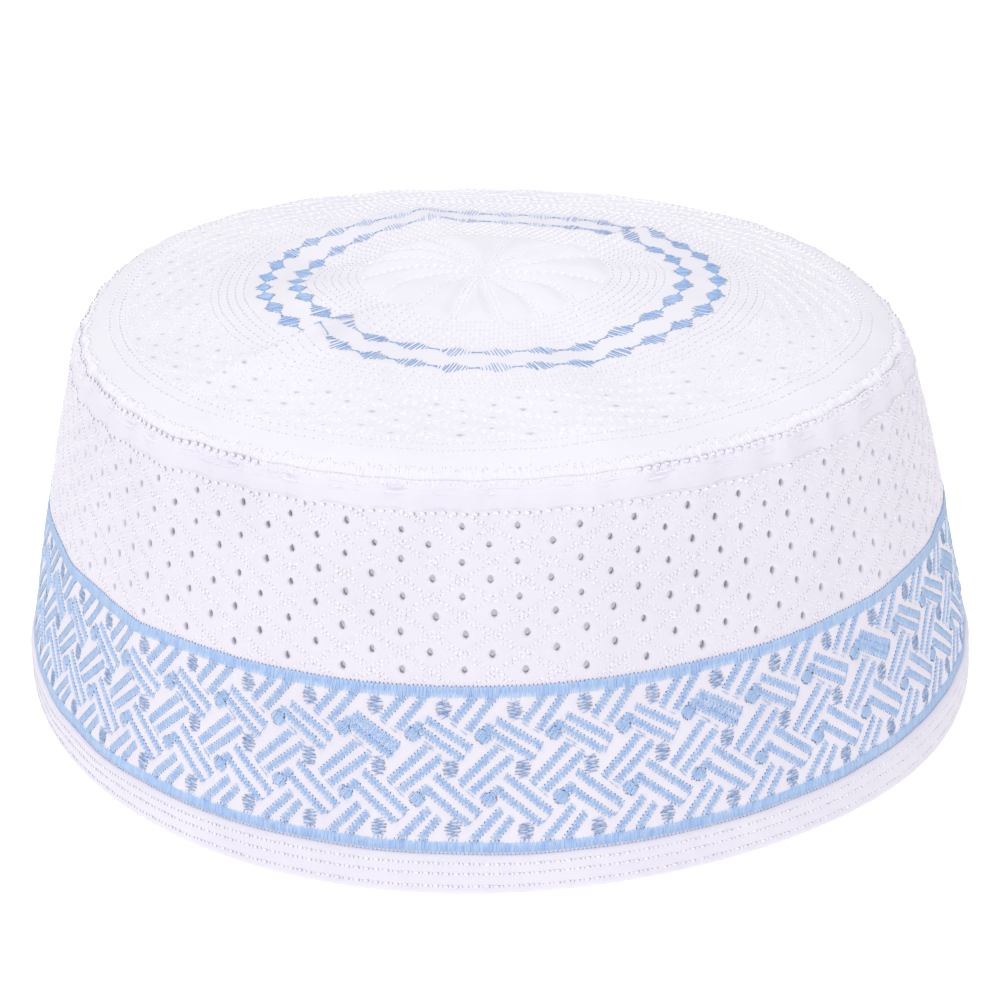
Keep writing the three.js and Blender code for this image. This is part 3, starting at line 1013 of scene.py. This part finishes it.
def basket_threads():
    """The threads of the bars and patches, and those of the knots and ties."""
    rng = np.random.default_rng(31)
    bars = []
    knots = []

    def lay(pile, threads, azimuth, height):
        pile.append(on_chart(threads, azimuth, height, side_degree(height)))

    for repeat in range(BORDER_REPEATS):
        start = BORDER_START + repeat * BORDER_PITCH
        planks = [FILLED_PLANK] if rng.random() < PLANK_CHANCE else []
        for bar in [*BASKET_BARS, *planks]:
            line, height = flat_line(bar)
            flat = zigzag(*line, BAR_WIDTH, BAR_STEP) + moved_patch(rng, 0.08)
            lay(bars, shaken_threads(flat, rng, 0.045), start, height)
        for tie in BASKET_TIES:
            line, height = flat_line(tie)
            lay(knots, shaken_threads(running_threads(*line), rng, 0.05), start, height)
        for x, y in BASKET_KNOTS:
            lay(knots, fan_threads(rng), start + x, y)
        for x, y, end_x, end_y in BASKET_PATCHES:
            drawn_out = zigzag(0, 0, (end_x - x) * side_degree(y), end_y - y, PATCH_WIDTH, BAR_STEP)
            moved = moved_patch(rng, 0.1)
            lay(bars, shaken_threads(drawn_out, rng, 0.06) + moved, start + x, y)
            lay(bars, blob_threads(rng) + moved, start + x, y)
    return np.vstack(bars), np.vstack(knots)


# The blue lines above and below the border, of satin over sparser teeth
TOP_LINE = 33.82
FOOT_LINE = 7.95
LINE_TOOTH_STEP = 0.69
LINE_SATIN_STEP = 0.3
LINE_LEAN = 0.1


def line_threads(middle, width, step, seed):
    """Upright threads side by side round the cap, a step apart."""
    rng = np.random.default_rng(seed)
    degree = side_degree(middle)
    count = round(360 * degree / step)
    azimuth = np.linspace(0, 360, count, endpoint=False) + BORDER_START
    lean = LINE_LEAN / degree
    low = np.full(count, middle - width / 2)
    threads = np.stack([azimuth - lean, low, azimuth + lean, low + width], axis=-1)
    threads[:, [1, 3]] += rng.normal(size=(count, 2)) * 0.05
    return threads


# White stitches

STITCH_PITCH = 1.65
STITCH_SHARE = 0.6
DOUBLE_SHARE = 0.82
SIDE_LATTICE_SAG = 0.25
SIDE_LATTICE_BAND = (35.3, 61.8)
CROWN_LATTICE_TURN = 0.73
CROWN_LATTICE_BAND = (51.0, 67.4)
HEM_ROWS = [5.55, 3.8, 1.6]
FOLD_ROWS = [65.65, 64.95]
TAPE_SEAMS = [62.1, 66.6]

# The upper seam of the tape doesn't show between these azimuths, at the front
HIDDEN_SEAM = (-118, -72)
OVERCAST_STITCHES = 900


def sewn_row(surface, azimuth, across, pitch=STITCH_PITCH, share=STITCH_SHARE):
    """The stitches of one row, spaced by its real length: both ends of each on the chart."""
    azimuth, across = np.broadcast_arrays(np.asarray(azimuth, float), np.asarray(across, float))
    path = surface(azimuth, across)
    run = np.concatenate([[0], np.cumsum(np.linalg.norm(np.diff(path, axis=0), axis=1))]) / MM
    count = max(round(run[-1] / pitch), 1)
    starts = (np.arange(count) + (1 - share) / 2) * run[-1] / count
    ends = starts + share * run[-1] / count
    return np.stack([np.interp(at, run, line) for at in (starts, ends)
                     for line in (azimuth, across)], axis=-1)


def ring_rows(surface, rows, pitch=STITCH_PITCH, share=STITCH_SHARE):
    azimuth = np.linspace(-180, 180, 721)
    return np.vstack([sewn_row(surface, azimuth, row, pitch, share) for row in rows])


def lattice_rows(surface, columns, start, stations, values, apart, share):
    """Both families of slanting double rows that part a field into diamonds."""
    pitch = 360 / columns
    row = np.linspace(stations[0], stations[-1], 60)
    across = np.interp(row, stations, values)
    threads = []
    for column in range(columns):
        for slope in (-1, 1):
            azimuth = start + (column + 0.5 + slope * row / 2) * pitch
            for off in (-apart / 2, apart / 2):
                threads.append(sewn_row(surface, azimuth, across + off, STITCH_PITCH, share))
    return np.vstack(threads)


def in_two(threads):
    """The lockstitch shows as two short beads of thread, the second the smaller."""
    first_end = 0.52
    second_start = 0.7
    start = threads[:, :2]
    step = threads[:, 2:] - start
    first = np.hstack([start, start + first_end * step])
    second = np.hstack([start + second_start * step, start + step])
    return np.vstack([first, second])


def within(threads, low, high):
    middle = (threads[:, 1] + threads[:, 3]) / 2
    return threads[(middle > low) & (middle < high)]


def shaken_stitches(threads, seed, turn=0.03, across=0.05):
    """Each stitch wanders a little in azimuth and across its row."""
    return shaken_threads(threads, np.random.default_rng(seed), [turn, across, turn, across])


def side_lattice_threads():
    stations, heights = side_rows()
    lower = np.array(heights) - SIDE_LATTICE_SAG
    rows = lattice_rows(side_point, EYELET_COLUMNS, EYELET_START, stations, lower, 0.8,
                        DOUBLE_SHARE)
    rows = within(rows, *SIDE_LATTICE_BAND)
    rows[:, [0, 2]] = drifted(rows[:, [0, 2]])
    return shaken_stitches(in_two(rows), 41, 0.06, 0.13)


def crown_lattice_threads():
    rows = lattice_rows(crown_point, CROWN_COLUMNS, CROWN_START + CROWN_LATTICE_TURN,
                        *crown_rows(), 0.7, STITCH_SHARE)
    return shaken_stitches(within(rows, *CROWN_LATTICE_BAND), 42, 0.06, 0.12)


def crown_ring_threads():
    return shaken_stitches(ring_rows(crown_point, CROWN_SEWN_ROWS), 43)


def flower_threads():
    """Two rows of stitches along each arm, half a millimetre to each side."""
    rows = []
    for arm in FLOWER_ARMS:
        azimuth, radius = flower_arm(arm)
        for off in (-0.5, 0.5):
            aside = np.degrees(off / np.maximum(radius, 4))
            rows.append(sewn_row(crown_point, azimuth + aside, radius))
    return shaken_stitches(np.vstack(rows), 44, 0.1, 0.05)


def hem_threads():
    rows = ring_rows(hem_point, HEM_ROWS, STITCH_PITCH, DOUBLE_SHARE)
    return shaken_stitches(in_two(rows), 45)


def tape_seam_threads():
    """The rows that sew the tape to the side below it and to the crown above it."""
    rows = ring_rows(tape_point, TAPE_SEAMS)
    upper = rows[:, 1] > np.mean(TAPE_SEAMS)
    hidden = upper & (rows[:, 0] > HIDDEN_SEAM[0]) & (rows[:, 0] < HIDDEN_SEAM[1])
    return shaken_stitches(rows[~hidden], 47)


def overcast_threads():
    """Short upright stitches over the shoulder, which hold the crown's edge to the tape."""
    rng = np.random.default_rng(46)
    count = OVERCAST_STITCHES
    azimuth = np.linspace(-180, 180, count, endpoint=False) + rng.normal(size=count) * 0.08
    inner = -1.5 + rng.normal(size=count) * 0.3
    outer = 0.7 + rng.normal(size=count) * 0.25
    lean = rng.normal(size=count) * 0.14
    return np.stack([azimuth - lean, inner, azimuth + lean, outer], axis=-1)


def fold_threads():
    """Long thin stitches along the two folds near the tape's top."""
    return ring_rows(tape_point, FOLD_ROWS, pitch=4.3, share=0.97)


# The blue rings of the crown, in satin leaves joined by a thin thread

# Radius, how many leaves, and the azimuth of the first
LEAF_RINGS = [(41.55, 36, -86.8), (35.55, 30, -85.4)]
RING_CENTRE = (0.82, -0.5)
LEAF_HALF_WIDTH = 1.8
LEAF_TIP = 0.22
LEAF_SHARE = 0.39
LEAF_STITCHES = 11
TIE_OVERLAP = 0.2


def leaf_ring_threads():
    """Leaves of slanting threads, which lean towards the front, joined by a thin tie."""
    rng = np.random.default_rng(51)
    leaves = []
    for ring, count, first in LEAF_RINGS:
        for leaf in range(count):
            middle = first + leaf * 360 / count
            turn = math.radians(middle)
            radius = ring + RING_CENTRE[0] * math.cos(turn) + RING_CENTRE[1] * math.sin(turn)
            pitch = math.radians(360 / count) * radius
            half = pitch * LEAF_SHARE
            along = np.linspace(-half, half, LEAF_STITCHES)
            fat = LEAF_HALF_WIDTH * (1 - np.abs(along / half)) ** 0.8
            fat = LEAF_TIP + fat * rng.uniform(0.75, 1.15, len(along))
            lean = 0.25 * fat * (-1 if leaf * 2 < count else 1)
            flat = np.stack([along - lean, fat, along + lean, -fat], axis=-1)
            flat = shaken_threads(flat, rng, 0.1)
            tie = running_threads(half - TIE_OVERLAP, 0, pitch - half + TIE_OVERLAP, 0, 1.2)
            for threads in (flat, tie):
                leaves.append(on_chart(threads, middle, radius, math.radians(radius)))
    return np.vstack(leaves)


# How far a stitch of height 1 reaches into the cloth
STITCH_FOOT = -0.3


def bead_stitch(name):
    """A short stitch as a low bead, with the painted shade of its needle hole at one end."""
    corners = [(-0.5, -0.5), (-0.5, 0.5), (0.5, 0.5), (0.5, -0.5)]
    points = [(x, y, STITCH_FOOT) for x, y in corners] + [(0.1, 0, 1)]
    faces = [(0, 3, 4), (3, 2, 4), (2, 1, 4), (1, 0, 4), (0, 1, 2, 3)]
    return helper_object(name, points, faces, reach=[0, 0, 1, 1, 0])


def unit_stitch(name, shoulder, tip_height, soft, end_shade=1.0):
    """One thread's length from -0.5 to 0.5: it comes up, lies in a low arch and dives again."""
    points = [(-0.5, 0, tip_height)]
    for x in (-shoulder, shoulder):
        points += [(x, -0.5, STITCH_FOOT), (x, 0, 1), (x, 0.5, STITCH_FOOT)]
    points.append((0.5, 0, tip_height))
    top_faces = [(0, 1, 2), (0, 2, 3), (1, 4, 5, 2), (2, 5, 6, 3), (7, 5, 4), (7, 6, 5)]
    faces = top_faces + [(0, 3, 1), (3, 6, 4, 1), (7, 4, 6)]
    # Both tips carry the painted shade of the needle holes, as strongly as the last argument gives
    stitch = helper_object(name, points, faces, reach=[end_shade, 0, 0, 0, 0, 0, 0, end_shade])
    smooth = [soft and i < len(top_faces) for i in range(len(faces))]
    stitch.data.polygons.foreach_set("use_smooth", smooth)
    return stitch


def lay_threads(name, slot, material, stitch, surface, threads, width, rise, lift, seed):
    """Grows one real stitch for each pair of ends on the chart, and makes them one piece."""
    starts = surface(threads[:, 0], threads[:, 1])
    ends = surface(threads[:, 2], threads[:, 3])
    ups = outward(surface, (threads[:, 0] + threads[:, 2]) / 2, (threads[:, 1] + threads[:, 3]) / 2)
    spans = np.linalg.norm(ends - starts, axis=1)
    carrier = helper_object(name, (starts + ends) / 2 + ups * lift * MM,
                            along=(ends - starts) / spans[:, None], up=ups, span=spans)
    mesh = grown_mesh(carrier, STITCHES, {
        "Stitch": stitch, "Width": width * MM, "Rise": rise * MM,
        "Unevenness": 0.14, "Seed": seed, "Material": material,
    })
    mesh.name = name
    carrier.data = mesh
    finish_piece(carrier)


# The pieces

HEM_GROOVE = -0.06
HEM_GROOVE_WIDTH = 0.45
HEM_RIPPLES = 90
HEM_RIPPLE_RISE = 0.03

# The tape: where it is free of its seams, and the length and seed of its waves
TAPE_RADIUS = 77
TAPE_FREE_SPAN = ((62.2, 63.4), (65.0, 66.3))
TAPE_PUCKERS = (4.5, 61)
TAPE_PUCKER_RISE = 0.16
TAPE_ROUGHNESS = (1.8, 62)
TAPE_ROUGHNESS_RISE = 0.04
FOLD_RISE = 0.06
FOLD_WIDTH = 0.2


def hem_relief(azimuth, height):
    """Sewn grooves with the folded cloth swelling between them."""
    ripple = HEM_RIPPLE_RISE * np.sin(np.radians(azimuth) * HEM_RIPPLES + height)
    return ridges(height, HEM_ROWS, HEM_GROOVE, HEM_GROOVE_WIDTH) + ripple


def tape_relief(azimuth, height):
    """The tape puckers upright between its seams, and has two fine folds near its top."""
    x, y = on_plan(azimuth, TAPE_RADIUS)
    pucker = TAPE_PUCKER_RISE * unevenness(x, y, height / 4, *TAPE_PUCKERS)
    rough = TAPE_ROUGHNESS_RISE * unevenness(x, y, height, *TAPE_ROUGHNESS)
    folds = ridges(height, FOLD_ROWS, FOLD_RISE, FOLD_WIDTH)
    return pucker * plateau(height, *TAPE_FREE_SPAN) + rough + folds


def level_rows(low, high, count, out=0.0):
    """Rows of a section straight up its outer face, with all of the relief."""
    return [(height, out, 1.0) for height in np.linspace(low, high, count)]


# Each row of a section is a height, how far out it is and its share of the relief
HEM_SECTION = [
    (0.75, 0.0, 1.0), *level_rows(1.0, 5.9, 23), (6.25, -0.16, 0.5), (6.55, -0.5, 0),
    (6.7, -1.0, 0), (6.5, -HEM_THICKNESS, 0), (3.5, -HEM_THICKNESS, 0), (0.6, -HEM_THICKNESS, 0),
    (0.0, -1.9, 0), (0.0, -0.6, 0), (0.2, -0.2, 0),
]
BORDER_SECTION = [
    (6.4, -0.3, 0), (6.7, 0.0, 0), (7.2, 0.0, 0), *level_rows(7.7, 34.0, 51),
    (QUILTING_FOOT, 0.0, 0), (QUILTING_FOOT, -CLOTH_THICKNESS, 0),
    *[(height, -CLOTH_THICKNESS, 0) for height in (28, 21, 14, 6.4)],
]
TAPE_SECTION = [
    *level_rows(62.25, 65.8, 21, 0.12), (66.1, 0.08, 0.6), (66.4, 0.02, 0.3),
    (66.65, -0.12, 0), (66.7, -0.9, 0), (66.3, -CLOTH_THICKNESS, 0),
    (64.4, -CLOTH_THICKNESS, 0), (62.6, -1.5, 0), (62.3, -1.0, 0), (62.12, -0.2, 0),
]
hem = turned_part(hem_point, HEM_SECTION, 576, hem_relief)
border = turned_part(side_point, BORDER_SECTION, BORDER_REPEATS * 16, border_puff)
tape = turned_part(tape_point, TAPE_SECTION, 720, tape_relief)
for name, parts, material, slot, solid in (
    ("hem_cloth", [hem], HEM_COTTON, "hem_cotton", "hem_band"),
    ("side_border", [border], COTTON, "quilted_cotton", "side_band"),
    ("side_quilting", side_cloth(), COTTON, "quilted_cotton", "side_band"),
    ("shoulder_tape_cloth", [tape], TAPE_COTTON, "tape_cotton", "shoulder_tape"),
    ("crown_cloth", crown_cloth(), CROWN_COTTON, "crown_cotton", "crown_panel"),
):
    cloth_piece(name, parts, material, slot, solid)

WHITE_STITCH = unit_stitch("white_stitch", 0.38, -0.1, False)
WHITE_BEAD = bead_stitch("white_bead")
SATIN_STITCH = unit_stitch("satin_stitch", 0.3, 0.1, True)
PLAIN_STITCH = unit_stitch("plain_stitch", 0.4, 0.1, True, end_shade=0.0)
bars, knots = basket_threads()
teeth = np.vstack([
    line_threads(TOP_LINE, 2.6, LINE_TOOTH_STEP, 32),
    line_threads(FOOT_LINE, 2.75, LINE_TOOTH_STEP, 33),
])
satin = np.vstack([
    line_threads(TOP_LINE, 1.95, LINE_SATIN_STEP, 34),
    line_threads(FOOT_LINE, 2.0, LINE_SATIN_STEP, 35),
])

# Name, stitch, surface, threads, and their width, rise, lift off the cloth and seed
WHITE_PIECES = [
    ("side_lattice_stitches", WHITE_BEAD, side_point, side_lattice_threads(), 0.42, 0.16, 0, 1),
    ("crown_lattice_stitches", WHITE_STITCH, crown_point, crown_lattice_threads(),
     0.42, 0.14, 0, 2),
    ("crown_ring_stitches", WHITE_STITCH, crown_point, crown_ring_threads(), 0.42, 0.17, 0, 3),
    ("flower_stitches", WHITE_STITCH, crown_point, flower_threads(), 0.46, 0.18, 0, 4),
    ("hem_stitches", WHITE_BEAD, hem_point, hem_threads(), 0.38, 0.09, 0, 5),
    ("tape_seam_stitches", WHITE_BEAD, tape_point, tape_seam_threads(), 0.5, 0.22, 0.18, 8),
    ("tape_fold_stitches", WHITE_STITCH, tape_point, fold_threads(), 0.1, 0.1, 0.08, 6),
    ("overcast_stitches", WHITE_STITCH, shoulder_point, overcast_threads(), 0.28, 0.16, 0.09, 7),
]
BLUE_PIECES = [
    ("basket_bars", SATIN_STITCH, side_point, bars, 0.48, 0.26, 0.02, 11),
    ("basket_knots", SATIN_STITCH, side_point, knots, 0.22, 0.2, 0.02, 12),
    ("border_line_teeth", SATIN_STITCH, side_point, teeth, 0.46, 0.24, 0.02, 13),
    ("border_line_satin", PLAIN_STITCH, side_point, satin, 0.44, 0.28, 0.02, 15),
    ("crown_leaf_rings", SATIN_STITCH, crown_point, leaf_ring_threads(), 0.13, 0.16, 0.2, 14),
]
# The pieces of the darker thread, whose tone is painted shade
SHADE_DARKENED_PIECES = ("basket_knots", "crown_leaf_rings")
for name, *laid in WHITE_PIECES:
    lay_threads(name, "white_thread", WHITE_THREAD, *laid)
for name, *laid in BLUE_PIECES:
    lay_threads(name, "blue_thread", RING_THREAD if name in SHADE_DARKENED_PIECES else BLUE_THREAD, *laid)
for stitch in (WHITE_STITCH, WHITE_BEAD, SATIN_STITCH, PLAIN_STITCH):
    bpy.data.objects.remove(stitch)


# The studio

FLOOR_REACH = 6.0
SKY_STRENGTH = 0.47
LIGHTS_AIM = (0, 0, 0.04)

# Name, place, size in metres and power in watts
SOFTBOXES = [
    ("key_softbox", (-0.2, -1.0, 0.8), 0.9, 1.68),
    ("fill_softbox", (0.5, -0.9, 0.6), 0.8, 0.05),
    ("top_softbox", (-0.08, -0.1, 1.1), 0.9, 6.75),
]

# The camera, fitted to the photograph's hem, border and crown rings
CAMERA_PLACE = (1.199, -383.55, 214.67)
CAMERA_PITCH = 26.14
CAMERA_ROLL = -1.10
CAMERA_LENS = 78.97
CAMERA_SENSOR = 36

floor_mesh = bpy.data.meshes.new("studio_floor")
corners = [(x * FLOOR_REACH, y * FLOOR_REACH, 0) for x, y in ((-1, -1), (1, -1), (1, 1), (-1, 1))]
floor_mesh.from_pydata(corners, [], [(0, 1, 2, 3)])
floor_mesh.materials.append(PAPER)
floor = new_object("studio_floor", floor_mesh)

world = bpy.data.worlds.new("white_studio")
bpy.context.scene.world = world
world.use_nodes = True
world.node_tree.nodes["Background"].inputs["Color"].default_value = (1, 1, 1, 1)
world.node_tree.nodes["Background"].inputs["Strength"].default_value = SKY_STRENGTH

for name, place, size, power in SOFTBOXES:
    lamp = bpy.data.lights.new(name, "AREA")
    lamp.energy = power
    lamp.size = size
    softbox = new_object(name, lamp)
    softbox.location = place
    away = Vector(LIGHTS_AIM) - Vector(place)
    softbox.rotation_euler = away.to_track_quat("-Z", "Y").to_euler()

lens = bpy.data.cameras.new("camera")
lens.lens = CAMERA_LENS
lens.sensor_width = CAMERA_SENSOR
camera = new_object("camera", lens)
tilt = Matrix.Rotation(math.radians(90 - CAMERA_PITCH), 4, "X")
roll = Matrix.Rotation(math.radians(CAMERA_ROLL), 4, "Z")
camera.matrix_world = Matrix.Translation(Vector(CAMERA_PLACE) * MM) @ tilt @ roll
bpy.context.scene.camera = camera
bpy.context.scene.view_settings.view_transform = "Standard"
